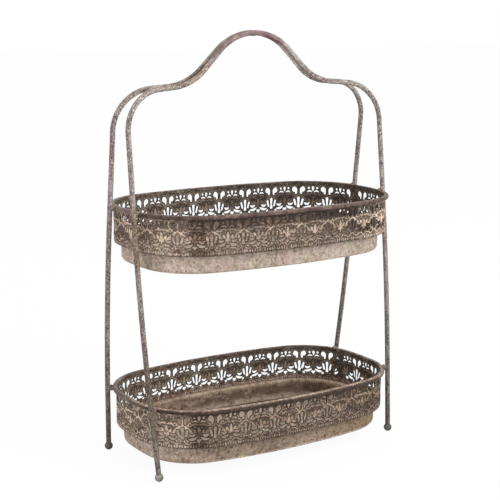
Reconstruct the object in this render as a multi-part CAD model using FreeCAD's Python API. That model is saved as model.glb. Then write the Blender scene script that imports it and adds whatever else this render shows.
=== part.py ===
import FreeCAD, Part
import math
import os

Vector = FreeCAD.Vector
up = Vector(0, 0, 1)
origin = Vector(0, 0, 0)

# Frame: origin on the floor under the middle, +X along the trays, +Y to the rear, +Z up, millimetres

# Bent round-bar frames
rod_diameter = 8.0
handle_top_height = 652.0
handle_rod_gap = 0.3
hump_radius = 88.0
hump_rise = 75.0
valley_half_span = 112.0
valley_half_spread = 7.5
valley_radius = 85.0
shoulder_drop = 8.5
shoulder_half_spread = 18.0
shoulder_radius = 62.0
knee_height = 233.0
knee_radius = 5000.0
foot_half_spread = 82.0

# Ball feet
ball_diameter = 13.0
ball_flat_radius = 2.5
ball_socket_clearance = 0.2

# Oval of the gallery's outer face
gallery_half_length = 219.0
gallery_half_width = 129.0
side_arc_radius = 860.0
end_arc_radius = 450.0
corner_arc_radius = 97.0
shortest_arc = 0.001

# Trays
upper_rim_height = 396.0
lower_rim_height = 108.0
tray_height = 88.0
gallery_height = 60.0
sheet_thickness = 1.0
gallery_foot_width = 5.0
gallery_foot_radius = 2.5
flange_clearance = 0.2
pan_step = 11.0
pan_corner_radius = 7.0

# Rolled rim
rim_roll_height = 6.4
rim_overhang = 5.8
rim_lip_thickness = 1.6
rim_clearance = 0.3
rim_inner_radius = 0.7

# Welds
upper_weld_gap = 1.0
lower_weld_gap = 3.6
weld_radius = 5.4
handle_weld_radius = 3.0
handle_weld_length = 14.0
handle_weld_drop = 4.5

# Gallery strips, bent from a running pattern: shares of its pitch from the tray's right end round
# to the seam behind it, and from each strip's seam to the first crown on it
upper_seam_share = 0.45
upper_rear_lead = 0.19
upper_front_lead = 0.615
lower_seam_share = 1.0
lower_rear_lead = 0.54
lower_front_lead = 0.17
seam_margin = 2.0

# Pierced pattern: side places are shares of the pitch, counted from the motif's axis
motif_count = 24
cutter_reach = 4.0

# Upper row, down from the top of the rim
mitten_share = 0.142
mitten_drop = 14.0
mitten_radius = 4.3
mitten_tip_share = 0.163
mitten_tip_drop = 10.9
mitten_tip_radius = 1.5
mitten_tail_share = 0.088
mitten_tail_drop = 20.6
mitten_tail_top_radius = 2.0
mitten_tail_radius = 1.5
drop_top = 11.2
drop_top_radius = 2.2
drop_foot = 16.0
drop_foot_radius = 0.8
pearl_share = 0.142
pearl_drop = 11.8
pearl_radius = 1.8
brow_share = 0.121
brow_half_width = 4.3
brow_foot = 19.3
brow_crown = 15.6
brow_underside = 17.9

# Lower row, up from the plain border along the gallery's foot
foot_border_height = 2.5
spindle_top = 28.4
spindle_top_radius = 2.4
spindle_waist = 19.2
spindle_waist_radius = 1.3
spindle_foot = 14.8
spindle_foot_radius = 2.6
fan_top_share = 0.146
fan_top = 25.8
fan_foot_share = 0.105
fan_foot = 17.6
fan_radius = 1.6
boat_share = 0.29
boat_half_width = 4.7
boat_brim = 21.3
boat_dip = 19.9
boat_keel = 16.4
cradle_inner_share = 0.165
cradle_inner = 13.2
cradle_outer_share = 0.45
cradle_outer = 16.6
cradle_share = 0.29
cradle_hollow = 14.5
cradle_keel = 10.6
heart_lobe_share = 0.034
heart_lobe = 11.2
heart_lobe_radius = 1.9
heart_notch = 12.1
heart_point = 7.0
seed_inner_share = 0.146
seed_inner = 10.3
seed_outer_share = 0.178
seed_outer = 9.3
seed_radius = 1.4

rod_radius = rod_diameter / 2
ball_radius = ball_diameter / 2
ball_height = math.sqrt(ball_radius ** 2 - ball_flat_radius ** 2)


def corner_arc_centre():
    # where a circle inside both the side arc and the end arc touches the two
    side = Vector(0, gallery_half_width - side_arc_radius, 0)
    end = Vector(gallery_half_length - end_arc_radius, 0, 0)
    side_reach = side_arc_radius - corner_arc_radius
    end_reach = end_arc_radius - corner_arc_radius
    apart = (end - side).Length
    along = (side_reach ** 2 - end_reach ** 2 + apart ** 2) / (2 * apart)
    across = math.sqrt(side_reach ** 2 - along ** 2)
    toward = (end - side) * (1 / apart)
    return side + toward * along + Vector(toward.y, -toward.x, 0) * across


corner_centre = corner_arc_centre()
side_centre_y = gallery_half_width - side_arc_radius
end_centre_x = gallery_half_length - end_arc_radius
side_angle = math.atan2(corner_centre.x, corner_centre.y - side_centre_y)
end_angle = math.atan2(corner_centre.y, corner_centre.x - end_centre_x)


def oval_arcs():
    # once round from the right end by way of the rear: centre, radius, first and last direction
    x = corner_centre.x
    y = corner_centre.y
    side_turn = math.pi / 2 - side_angle
    rear = [
        (Vector(end_centre_x, 0, 0), end_arc_radius, 0, end_angle),
        (Vector(x, y, 0), corner_arc_radius, end_angle, side_turn),
        (Vector(0, side_centre_y, 0), side_arc_radius, side_turn, math.pi - side_turn),
        (Vector(-x, y, 0), corner_arc_radius, math.pi - side_turn, math.pi - end_angle),
        (Vector(-end_centre_x, 0, 0), end_arc_radius, math.pi - end_angle, math.pi),
    ]
    front = [(centre * -1, radius, first + math.pi, last + math.pi)
             for centre, radius, first, last in rear]
    return rear + front


def arc_length(arc):
    centre, radius, first, last = arc
    return radius * (last - first)


oval_length = sum(arc_length(arc) for arc in oval_arcs())


def arcs_between(start, length):
    # the run of arcs that begins at a distance round from the right end
    picked = []
    for arc in oval_arcs() * 2:
        centre, radius, first, last = arc
        begin = max(start, 0)
        end = min(start + length, arc_length(arc))
        if end - begin > shortest_arc:
            picked.append((centre, radius, first + begin / radius, first + end / radius))
        start -= arc_length(arc)
    return picked


def arc_point(arc, direction, offset):
    centre, radius, first, last = arc
    reach = radius + offset
    return centre + Vector(math.cos(direction), math.sin(direction), 0) * reach


def arc_edges(arcs, offset, height):
    edges = []
    for arc in arcs:
        first = arc_point(arc, arc[2], offset)
        middle = arc_point(arc, (arc[2] + arc[3]) / 2, offset)
        last = arc_point(arc, arc[3], offset)
        edge = Part.Arc(first, middle, last).toShape()
        edge.translate(up * height)
        edges.append(edge)
    return edges


def oval_plate(offset, bottom, thickness):
    edges = arc_edges(oval_arcs(), offset, bottom)
    return Part.Face(Part.Wire(edges)).extrude(up * thickness)


def oval_end_arc(offset, half_spread):
    # the arc that the oval's +X end follows at a given distance from its long axis
    if half_spread < (end_arc_radius + offset) * math.sin(end_angle):
        return Vector(end_centre_x, 0, 0), end_arc_radius + offset
    return corner_centre, corner_arc_radius + offset


def oval_reach(offset, half_spread):
    centre, radius = oval_end_arc(offset, half_spread)
    return centre.x + math.sqrt(radius ** 2 - (half_spread - centre.y) ** 2)


def place_along(arcs, distance):
    # point and outward direction on the gallery's outer face
    index = 0
    while index < len(arcs) - 1 and distance > arc_length(arcs[index]):
        distance -= arc_length(arcs[index])
        index += 1
    centre, radius, first, last = arcs[index]
    direction = first + distance / radius
    outward = Vector(math.cos(direction), math.sin(direction), 0)
    return arc_point(arcs[index], direction, 0), outward


# Frame rods
def rounded_path(points, radii):
    edges = []
    start = points[0]
    for before, corner, after, radius in zip(points, points[1:], points[2:], radii):
        back = (before - corner).normalize()
        forth = (after - corner).normalize()
        half_angle = back.getAngle(forth) / 2
        tangent = radius / math.tan(half_angle)
        inward = (back + forth).normalize()
        first = corner + back * tangent
        middle = corner + inward * (radius / math.sin(half_angle) - radius)
        last = corner + forth * tangent
        edges.append(Part.LineSegment(start, first).toShape())
        edges.append(Part.Arc(first, middle, last).toShape())
        start = last
    edges.append(Part.LineSegment(start, points[-1]).toShape())
    return Part.Wire(edges)


apex_height = handle_top_height - rod_radius
apex_half_spread = rod_radius + handle_rod_gap / 2
valley_height = apex_height - hump_rise
shoulder_height = valley_height - shoulder_drop


def leg_half_spread(height):
    share = (shoulder_height - height) / (shoulder_height - ball_height)
    return shoulder_half_spread + share * (foot_half_spread - shoulder_half_spread)


def rim_middle(rim_top):
    return rim_top - rim_roll_height / 2


def leg_reach_at_rim(rim_top, weld_gap):
    return oval_reach(leg_standoff(weld_gap), leg_half_spread(rim_middle(rim_top)))


def leg_standoff(weld_gap):
    return rim_overhang + weld_gap + rod_radius


upper_leg_reach = leg_reach_at_rim(upper_rim_height, upper_weld_gap)
lower_leg_reach = leg_reach_at_rim(lower_rim_height, lower_weld_gap)
leg_slope = (upper_leg_reach - lower_leg_reach) / (knee_height - rim_middle(lower_rim_height))
foot_reach = lower_leg_reach - leg_slope * (rim_middle(lower_rim_height) - ball_height)


def peak_corner():
    # meeting point of the two straight flanks above the hump
    rise = math.hypot(hump_rise, valley_half_spread - apex_half_spread)
    upward = Vector(0, valley_half_spread - apex_half_spread, hump_rise) * (1 / rise)
    centre_rise = rise - hump_radius
    far = math.hypot(valley_half_span, centre_rise)
    flank_angle = math.atan2(valley_half_span, -centre_rise) - math.acos(hump_radius / far)
    peak_rise = centre_rise + hump_radius / math.cos(flank_angle)
    return Vector(0, -valley_half_spread, valley_height) + upward * peak_rise


def front_rod_points():
    right = [
        Vector(foot_reach, -foot_half_spread, ball_height),
        Vector(upper_leg_reach, -leg_half_spread(knee_height), knee_height),
        Vector(upper_leg_reach, -shoulder_half_spread, shoulder_height),
        Vector(valley_half_span, -valley_half_spread, valley_height),
    ]
    left = [Vector(-point.x, point.y, point.z) for point in reversed(right)]
    return right + [peak_corner()] + left


def front_frame_rod():
    points = front_rod_points()
    side_radii = [knee_radius, shoulder_radius, valley_radius]
    path = rounded_path(points, side_radii + [hump_radius] + side_radii[::-1])
    section = Part.Circle(points[0], points[1] - points[0], rod_radius).toShape()
    return path.makePipe(Part.Face(Part.Wire([section])))


def turned_half(shape):
    turned = shape.copy()
    turned.rotate(origin, up, 180)
    return turned


def ball_foot(points):
    centre = points[0]
    leg_direction = points[1] - points[0]
    ball = Part.makeSphere(ball_radius, centre)
    socket = Part.makeCylinder(rod_radius + ball_socket_clearance, ball_diameter, centre, leg_direction)
    below = Part.makeBox(ball_diameter, ball_diameter, ball_radius)
    below.translate(Vector(centre.x - ball_radius, centre.y - ball_radius, -ball_radius))
    return ball.cut([socket, below])


def handle_weld(rods):
    middle = Vector(0, 0, apex_height - handle_weld_drop)
    left = middle - Vector(handle_weld_length / 2, 0, 0)
    right = middle + Vector(handle_weld_length / 2, 0, 0)
    bead = Part.makeCylinder(handle_weld_radius, handle_weld_length, left, Vector(1, 0, 0))
    ends = [Part.makeSphere(handle_weld_radius, end) for end in (left, right)]
    return bead.fuse(ends).removeSplitter().cut(rods)


# Gallery sections are drawn outward from the gallery's outer face and down from the rim's top
def section_point(outward, height):
    return Vector(outward, 0, height)


def swept(section, arcs):
    point, outward = place_along(arcs, 0)
    section.Placement = FreeCAD.Placement(point, FreeCAD.Rotation(Vector(1, 0, 0), outward))
    return Part.Wire(arc_edges(arcs, 0, 0)).makePipe(section)


def quarter_turn(start, corner, end):
    # middle of the rounding between two square runs of equal length
    centre = start + end - corner
    return centre + (corner - centre).normalize() * (start - centre).Length


def gallery_section():
    foot = -gallery_height
    outer = gallery_foot_radius
    inner = outer - sheet_thickness
    inside = -sheet_thickness
    a = section_point(0, -rim_lip_thickness)
    b = section_point(0, foot + outer)
    c = section_point(-outer, foot)
    d = section_point(-gallery_foot_width - sheet_thickness, foot)
    e = section_point(-gallery_foot_width - sheet_thickness, foot + sheet_thickness)
    f = section_point(inside - inner, foot + sheet_thickness)
    g = section_point(inside, foot + sheet_thickness + inner)
    h = section_point(inside, -rim_lip_thickness)
    outer_corner = section_point(0, foot)
    inner_corner = section_point(inside, foot + sheet_thickness)
    edges = [
        Part.LineSegment(a, b).toShape(),
        Part.Arc(b, quarter_turn(b, outer_corner, c), c).toShape(),
        Part.LineSegment(c, d).toShape(),
        Part.LineSegment(d, e).toShape(),
        Part.LineSegment(e, f).toShape(),
        Part.Arc(f, quarter_turn(f, inner_corner, g), g).toShape(),
        Part.LineSegment(g, h).toShape(),
        Part.LineSegment(h, a).toShape(),
    ]
    return Part.Face(Part.Wire(edges))


def rim_section():
    # a roll that starts over the gallery's top edge and curls outward and down to a round
    roll = rim_roll_height / 2
    inside = -sheet_thickness - rim_clearance
    a = section_point(inside, -rim_lip_thickness)
    b = section_point(inside, -rim_inner_radius)
    c = section_point(inside + rim_inner_radius, 0)
    d = section_point(rim_overhang - roll, 0)
    e = section_point(rim_overhang, -roll)
    f = section_point(rim_overhang - roll, -rim_roll_height)
    g = section_point(rim_clearance + rim_inner_radius, -rim_roll_height)
    h = section_point(rim_clearance, -rim_roll_height + rim_inner_radius)
    i = section_point(rim_clearance, -rim_lip_thickness)
    edges = [
        Part.LineSegment(a, b).toShape(),
        Part.Arc(b, quarter_turn(b, section_point(inside, 0), c), c).toShape(),
        Part.LineSegment(c, d).toShape(),
        Part.Arc(d, e, f).toShape(),
        Part.LineSegment(f, g).toShape(),
        Part.Arc(g, quarter_turn(g, section_point(rim_clearance, -rim_roll_height), h), h).toShape(),
        Part.LineSegment(h, i).toShape(),
        Part.LineSegment(i, a).toShape(),
    ]
    return Part.Face(Part.Wire(edges))


# Openings of the pierced pattern, drawn flat: across the motif and up from the rim's top
def flat(across, height):
    return Vector(across, height, 0)


def tapered_slot(first, first_radius, second, second_radius):
    # outline round two circles and the straight sides that touch both
    along = second - first
    apart = along.Length
    along = along * (1 / apart)
    aside = Vector(-along.y, along.x, 0)
    lean = (first_radius - second_radius) / apart
    spread = math.sqrt(1 - lean ** 2)
    left = along * lean + aside * spread
    right = along * lean - aside * spread
    points = [first + left * first_radius, first + right * first_radius]
    ends = [second + right * second_radius, second + left * second_radius]
    edges = [
        Part.Arc(points[0], first - along * first_radius, points[1]).toShape(),
        Part.LineSegment(points[1], ends[0]).toShape(),
        Part.Arc(ends[0], second + along * second_radius, ends[1]).toShape(),
        Part.LineSegment(ends[1], points[0]).toShape(),
    ]
    return Part.Wire(edges)


def waisted_slot(places, radii):
    # upright outline with a round top and foot, drawn in between them
    top, waist, foot = places
    right = [place + flat(radius, 0) for place, radius in zip(places, radii)]
    left = [place - flat(radius, 0) for place, radius in zip(places, radii)]
    edges = [
        Part.Arc(left[0], top + flat(0, radii[0]), right[0]).toShape(),
        Part.LineSegment(right[0], right[1]).toShape(),
        Part.LineSegment(right[1], right[2]).toShape(),
        Part.Arc(right[2], foot - flat(0, radii[2]), left[2]).toShape(),
        Part.LineSegment(left[2], left[1]).toShape(),
        Part.LineSegment(left[1], left[0]).toShape(),
    ]
    return Part.Wire(edges)


def crescent(left, outer, right, inner):
    edges = [Part.Arc(left, outer, right).toShape(), Part.Arc(right, inner, left).toShape()]
    return Part.Wire(edges)


def round_hole(centre, radius):
    return Part.Wire([Part.Circle(centre, Vector(0, 0, 1), radius).toShape()])


motif_pitch = oval_length / motif_count
strip_length = oval_length / 2


def above_border(height):
    return foot_border_height + height - gallery_height


def axis_openings():
    top = flat(0, above_border(spindle_top))
    waist = flat(0, above_border(spindle_waist))
    foot = flat(0, above_border(spindle_foot))
    radii = spindle_top_radius, spindle_waist_radius, spindle_foot_radius
    outlines = [waisted_slot((top, waist, foot), radii)]
    for side in (-motif_pitch, motif_pitch):
        palm = flat(side * mitten_share, -mitten_drop)
        tip = flat(side * mitten_tip_share, -mitten_tip_drop)
        wrist = flat(side * mitten_tail_share, -mitten_drop)
        tail = flat(side * mitten_tail_share, -mitten_tail_drop)
        outlines.append(tapered_slot(palm, mitten_radius, tip, mitten_tip_radius))
        outlines.append(tapered_slot(wrist, mitten_tail_top_radius, tail, mitten_tail_radius))
        fan_high = flat(side * fan_top_share, above_border(fan_top))
        fan_low = flat(side * fan_foot_share, above_border(fan_foot))
        outlines.append(tapered_slot(fan_high, fan_radius, fan_low, fan_radius))
        near = flat(side * boat_share - boat_half_width, above_border(boat_brim))
        far = flat(side * boat_share + boat_half_width, above_border(boat_brim))
        keel = flat(side * boat_share, above_border(boat_keel))
        dip = flat(side * boat_share, above_border(boat_dip))
        outlines.append(crescent(near, keel, far, dip))
        near = flat(side * cradle_inner_share, above_border(cradle_inner))
        far = flat(side * cradle_outer_share, above_border(cradle_outer))
        keel = flat(side * cradle_share, above_border(cradle_keel))
        hollow = flat(side * cradle_share, above_border(cradle_hollow))
        outlines.append(crescent(near, keel, far, hollow))
        near = flat(side * seed_inner_share, above_border(seed_inner))
        far = flat(side * seed_outer_share, above_border(seed_outer))
        outlines.append(tapered_slot(near, seed_radius, far, seed_radius))
    return outlines


def heart():
    point = flat(0, above_border(heart_point))
    notch = flat(0, above_border(heart_notch))
    lobe = above_border(heart_lobe)
    aside = heart_lobe_share * motif_pitch
    reach = aside + heart_lobe_radius
    edges = [
        Part.LineSegment(point, flat(reach, lobe)).toShape(),
        Part.Arc(flat(reach, lobe), flat(aside, lobe + heart_lobe_radius), notch).toShape(),
        Part.Arc(notch, flat(-aside, lobe + heart_lobe_radius), flat(-reach, lobe)).toShape(),
        Part.LineSegment(flat(-reach, lobe), point).toShape(),
    ]
    return Part.Wire(edges)


def fleur_openings():
    drop = tapered_slot(flat(0, -drop_top), drop_top_radius, flat(0, -drop_foot), drop_foot_radius)
    outlines = [drop, heart()]
    for side in (-motif_pitch, motif_pitch):
        outlines.append(round_hole(flat(side * pearl_share, -pearl_drop), pearl_radius))
        left = flat(side * brow_share - brow_half_width, -brow_foot)
        right = flat(side * brow_share + brow_half_width, -brow_foot)
        crown = flat(side * brow_share, -brow_crown)
        underside = flat(side * brow_share, -brow_underside)
        outlines.append(crescent(left, crown, right, underside))
    return outlines


def clear_of_seams(outline, place):
    box = outline.BoundBox
    return place + box.XMin > seam_margin and place + box.XMax < strip_length - seam_margin


def cutters(outlines, arcs, place):
    point, outward = place_along(arcs, place)
    across = up.cross(outward)
    turn = FreeCAD.Rotation(across, up, outward, "ZYX")
    seat = FreeCAD.Placement(point - outward * cutter_reach, turn)
    tools = []
    for outline in outlines:
        if clear_of_seams(outline, place):
            tool = Part.Face(outline).extrude(Vector(0, 0, 2 * cutter_reach))
            tool.Placement = seat
            tools.append(tool)
    return tools


def gallery_strip(seam, lead):
    # half of the oval from a seam onward, plain beside both of its ends
    arcs = arcs_between(seam, strip_length)
    tools = []
    for index in range(-1, motif_count // 2 + 1):
        crown = (index + lead) * motif_pitch
        tools += cutters(axis_openings(), arcs, crown)
        tools += cutters(fleur_openings(), arcs, crown + motif_pitch / 2)
    return swept(gallery_section(), arcs).cut(tools)


def pan():
    foot = -tray_height
    flange_bottom = -gallery_height + sheet_thickness
    flange_top = flange_bottom + sheet_thickness
    body = oval_plate(-pan_step, foot, flange_top - foot)
    body = rounded_bottom(body, foot, pan_corner_radius)
    hollow = oval_plate(-pan_step - sheet_thickness, foot + sheet_thickness, flange_top - foot)
    hollow = rounded_bottom(hollow, foot + sheet_thickness, pan_corner_radius - sheet_thickness)
    flange = oval_plate(-gallery_foot_radius - flange_clearance, flange_bottom, sheet_thickness)
    return body.fuse(flange).removeSplitter().cut(hollow)


def rounded_bottom(body, level, radius):
    edges = [edge for edge in body.Edges if edge.BoundBox.ZMax < level + sheet_thickness / 2]
    return body.makeFillet(radius, edges)


def rim_weld(rim, rods, rim_top, weld_gap, right, rear):
    height = rim_middle(rim_top)
    half_spread = leg_half_spread(height)
    standoff = leg_standoff(weld_gap)
    arc_centre, arc_radius = oval_end_arc(standoff, half_spread)
    leg = Vector(oval_reach(standoff, half_spread), half_spread, 0)
    outward = (leg - arc_centre) * (1 / arc_radius)
    middle = leg - outward * (rod_radius + weld_gap / 2)
    centre = Vector(right * middle.x, rear * middle.y, height)
    axis = Vector(right * outward.x, rear * outward.y, 0)
    return Part.makeSphere(weld_radius, centre, axis).cut([rim] + rods)


def raised(shape, height):
    moved = shape.copy()
    moved.translate(up * height)
    return moved


def save(node, shape):
    assert shape.isValid(), node
    shape.exportStep("parts/" + node + ".step")
    print(node, len(shape.Solids), "solid", round(shape.Volume, 1), "mm3")


os.makedirs("parts", exist_ok=True)

front_rod = front_frame_rod()
rear_rod = turned_half(front_rod)
rods = [front_rod, rear_rod]
save("front_frame_rod", front_rod)
save("rear_frame_rod", rear_rod)
save("handle_weld", handle_weld(rods))

corners = [(side, right, row, rear) for side, right in (("left", -1), ("right", 1))
           for row, rear in (("front", -1), ("rear", 1))]

for side, right, row, rear in corners:
    leg = [Vector(right * point.x, -rear * point.y, point.z) for point in front_rod_points()[:2]]
    save("foot_ball_" + row + "_" + side, ball_foot(leg))

plain_rim = swept(rim_section(), oval_arcs())
plain_pan = pan()

tiers = [
    ("upper", upper_rim_height, upper_weld_gap, upper_seam_share, upper_front_lead, upper_rear_lead),
    ("lower", lower_rim_height, lower_weld_gap, lower_seam_share, lower_front_lead, lower_rear_lead),
]

for tier, rim_top, weld_gap, seam_share, front_lead, rear_lead in tiers:
    seam = seam_share * motif_pitch
    rim = raised(plain_rim, rim_top)
    save(tier + "_pan", raised(plain_pan, rim_top))
    save(tier + "_gallery_front", raised(gallery_strip(seam + strip_length, front_lead), rim_top))
    save(tier + "_gallery_rear", raised(gallery_strip(seam, rear_lead), rim_top))
    save(tier + "_rim", rim)
    for side, right, row, rear in corners:
        weld = rim_weld(rim, rods, rim_top, weld_gap, right, rear)
        save(tier + "_weld_" + row + "_" + side, weld)
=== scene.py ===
import bpy
import math
import numpy as np
from mathutils import Matrix, Vector, noise


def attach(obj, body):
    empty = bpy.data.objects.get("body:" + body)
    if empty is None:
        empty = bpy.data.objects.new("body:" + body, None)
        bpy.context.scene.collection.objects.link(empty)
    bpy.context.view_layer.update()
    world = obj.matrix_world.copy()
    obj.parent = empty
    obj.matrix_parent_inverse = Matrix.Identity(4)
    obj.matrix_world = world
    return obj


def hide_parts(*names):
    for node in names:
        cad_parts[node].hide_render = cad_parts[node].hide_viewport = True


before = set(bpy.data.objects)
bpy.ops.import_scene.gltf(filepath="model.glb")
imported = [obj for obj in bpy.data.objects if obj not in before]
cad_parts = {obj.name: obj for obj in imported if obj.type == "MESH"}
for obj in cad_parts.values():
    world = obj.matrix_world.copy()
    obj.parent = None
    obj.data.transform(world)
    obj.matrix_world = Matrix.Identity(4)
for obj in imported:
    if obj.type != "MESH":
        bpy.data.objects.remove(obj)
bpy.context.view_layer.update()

mm = 0.001
print("frame loaded:", len(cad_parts), "nodes")


# camera off the stand's front left corner, a little higher than the handle
shot = {"azimuth": 32.889, "elevation": 11.045, "roll": 0.25, "distance": 2.01464,
        "target": (-0.00412, 0.0, 0.31217), "lens": 92.583, "sensor": 36.0}


def setCamera():
    az, el, roll = (math.radians(shot[k]) for k in ("azimuth", "elevation", "roll"))
    target = Vector(shot["target"])
    back = Vector((-math.sin(az) * math.cos(el), -math.cos(az) * math.cos(el), math.sin(el)))
    side = Vector((math.cos(az), -math.sin(az), 0.0))
    over = back.cross(side)
    right = side * math.cos(roll) + over * math.sin(roll)
    above = over * math.cos(roll) - side * math.sin(roll)
    camData = bpy.data.cameras.new("camera")
    camData.sensor_width = shot["sensor"]
    camData.lens = shot["lens"]
    cam = bpy.data.objects.new("camera", camData)
    spot = target + back * shot["distance"]
    cam.matrix_world = Matrix(((right.x, above.x, back.x, spot.x), (right.y, above.y, back.y, spot.y),
                               (right.z, above.z, back.z, spot.z), (0, 0, 0, 1)))
    bpy.context.scene.collection.objects.link(cam)
    bpy.context.scene.camera = cam


setCamera()
print("camera set")


# small mesh helpers
def makePiece(name, verts, faces, smooth=True):
    mesh = bpy.data.meshes.new(name)
    mesh.from_pydata([tuple(v) for v in verts], [], [tuple(f) for f in faces])
    mesh.update()
    if smooth:
        mesh.polygons.foreach_set("use_smooth", [True] * len(mesh.polygons))
    piece = bpy.data.objects.new(name, mesh)
    bpy.context.scene.collection.objects.link(piece)
    return piece


def place(piece, slotName, material, *nodes):
    piece.data.materials.append(material)
    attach(piece, "root")
    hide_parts(*nodes)


def paintZones(piece, tints, speckle=1.0):
    # soft tints over the piece, multiplied into its finish, and how much of the flecks and pits shows
    layer = piece.data.attributes.new("zone", "FLOAT_COLOR", "POINT")
    layer.data.foreach_set("color", np.column_stack([tints, np.ones(len(tints)) * speckle]).ravel())


def fade(value, start, end):
    t = np.clip((np.asarray(value, float) - start) / (end - start), 0.0, 1.0)
    return t * t * (3 - 2 * t)


def toward(tints, tint, share):
    # move rows of tints toward one tint, each by its own share
    share = np.asarray(share, float)[:, None]
    return tints * (1 - share) + np.array(tint) * share


lumpShift = (7.3, 3.1, 5.7)  # how far each step of the seed moves the noise


def lumps(point, size, seed):
    # smooth noise, about -1 to 1, with lumps of the given size in mm
    return noise.noise(Vector(point) * (1.0 / (size * mm)) + Vector([seed * s for s in lumpShift]))


def lumpRow(points, size, seed):
    return np.array([lumps(p, size, seed) for p in points])


def lumpMix(point, seed, parts):
    # lumps of several sizes, each with its share, size in mm and step of the seed
    return sum(share * lumps(point, size, seed + step) for share, size, step in parts)


def gridFaces(rows, cols, closeRows=False, closeCols=False):
    faces = []
    for i in range(rows if closeRows else rows - 1):
        for j in range(cols if closeCols else cols - 1):
            a = i * cols + j
            b = i * cols + (j + 1) % cols
            c = ((i + 1) % rows) * cols + (j + 1) % cols
            d = ((i + 1) % rows) * cols + j
            faces.append((a, d, c, b))
    return faces


# the oval that both trays follow, on the outer face of the pierced band
oval = {"halfLength": 219.0, "halfWidth": 129.0,
        "sideRadius": 860.0, "endRadius": 450.0, "cornerRadius": 97.0}


def ovalArcs():
    side = np.array([0.0, oval["halfWidth"] - oval["sideRadius"]])
    end = np.array([oval["halfLength"] - oval["endRadius"], 0.0])
    sideReach = oval["sideRadius"] - oval["cornerRadius"]
    endReach = oval["endRadius"] - oval["cornerRadius"]
    apart = np.linalg.norm(end - side)
    along = (sideReach ** 2 - endReach ** 2 + apart ** 2) / (2 * apart)
    across = math.sqrt(sideReach ** 2 - along ** 2)
    heading = (end - side) / apart
    corner = side + heading * along + np.array([heading[1], -heading[0]]) * across
    endTurn = math.atan2(corner[1], corner[0] - end[0])
    sideTurn = math.pi / 2 - math.atan2(corner[0], corner[1] - side[1])
    half = [(end[0], 0.0, oval["endRadius"], 0.0, endTurn),
            (corner[0], corner[1], oval["cornerRadius"], endTurn, sideTurn),
            (0.0, side[1], oval["sideRadius"], sideTurn, math.pi - sideTurn),
            (-corner[0], corner[1], oval["cornerRadius"], math.pi - sideTurn, math.pi - endTurn),
            (-end[0], 0.0, oval["endRadius"], math.pi - endTurn, math.pi)]
    return half + [(-x, -y, r, a + math.pi, b + math.pi) for x, y, r, a, b in half]


ovalRows = np.array(ovalArcs())
ovalEnds = np.cumsum(ovalRows[:, 2] * (ovalRows[:, 4] - ovalRows[:, 3]))
ovalLength = ovalEnds[-1]


def alongOval(run):
    # points and outward directions at distances round the oval, from its right end by way of the rear
    run = np.mod(np.asarray(run, float), ovalLength)
    index = np.minimum(np.searchsorted(ovalEnds, run, side="right"), len(ovalEnds) - 1)
    start = np.concatenate([[0.0], ovalEnds])[index]
    row = ovalRows[index]
    turn = row[:, 3] + (run - start) / row[:, 2]
    outward = np.column_stack([np.cos(turn), np.sin(turn)])
    return row[:, :2] + outward * row[:, 2:3], outward


def sweepOval(profile, rings):
    # profile of (outward, height) points carried once round the oval, in mm
    points, outward = alongOval(np.linspace(0, ovalLength, rings, endpoint=False))
    verts = []
    for p, n in zip(points, outward):
        for o, z in profile:
            verts.append((p[0] + n[0] * o, p[1] + n[1] * o, z))
    return np.array(verts)


def arcPoints(centre, radius, first, last, count):
    turn = np.radians(np.linspace(first, last, count))
    return [(centre[0] + radius * math.cos(t), centre[1] + radius * math.sin(t)) for t in turn]


# finishes
def nodeMaker(material):
    tree = material.node_tree

    def add(kind, **values):
        node = tree.nodes.new("ShaderNode" + kind)
        for key, value in values.items():
            if key.startswith("in"):
                node.inputs[int(key[2:])].default_value = value
            else:
                setattr(node, key, value)
        return node

    def join(a, b, out=0):
        tree.links.new(a.outputs[out] if hasattr(a, "outputs") else a, b)
    return tree, add, join


def blotches(add, join, coords, scale, detail, rough=0.6):
    tex = add("TexNoise")
    tex.inputs["Scale"].default_value = scale
    tex.inputs["Detail"].default_value = detail
    tex.inputs["Roughness"].default_value = rough
    join(coords, tex.inputs["Vector"])
    return tex.outputs["Fac"]


def ramp(add, join, value, stops):
    node = add("ValToRGB")
    elements = node.color_ramp.elements
    while len(elements) < len(stops):
        elements.new(0.5)
    for element, (at, colour) in zip(elements, stops):
        element.position = at
        element.color = (*colour, 1.0)
    join(value, node.inputs[0])
    return node.outputs[0]


def grey(v):
    return (v, v, v)


def rgb(r, g, b):
    # written as seen on screen, turned to linear light
    return tuple((c / 255.0 / 12.92) if c < 11 else ((c / 255.0 + 0.055) / 1.055) ** 2.4 for c in (r, g, b))


def blend(add, join, fac, a, b, mode="MIX"):
    node = add("Mix", data_type="RGBA", blend_type=mode)
    for value, socket in ((fac, node.inputs[0]), (a, node.inputs[6]), (b, node.inputs[7])):
        if isinstance(value, (int, float)):
            socket.default_value = value
        elif isinstance(value, tuple):
            socket.default_value = (*value, 1.0)
        else:
            join(value, socket)
    return node.outputs[2]


# what all the finishes have in common: detail and roughness of each noise, then shares and stops
metal = {"cloud": (3.0, 0.6), "mottle": (5.0, 0.62), "fleck": (3.0, 0.6), "drift": (2.0, 0.6),
         "pit": (4.0, 0.7), "mottleShare": 0.6, "fleckShare": 0.25, "hollowShare": 0.86,
         "rubStops": ((0.35, 0.35), (0.53, 1.0)), "driftStops": (0.34, 0.5, 0.66), "softEdge": 0.07,
         "roughStops": (0.3, 0.7), "specular": 0.3, "bumpShare": 0.5, "bumpDepth": 0.0006,
         "toneStops": (0.37, 0.45, 0.52, 0.61)}


def fourTones(*colours):
    return [(at, rgb(*c)) for at, c in zip(metal["toneStops"], colours)]


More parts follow.
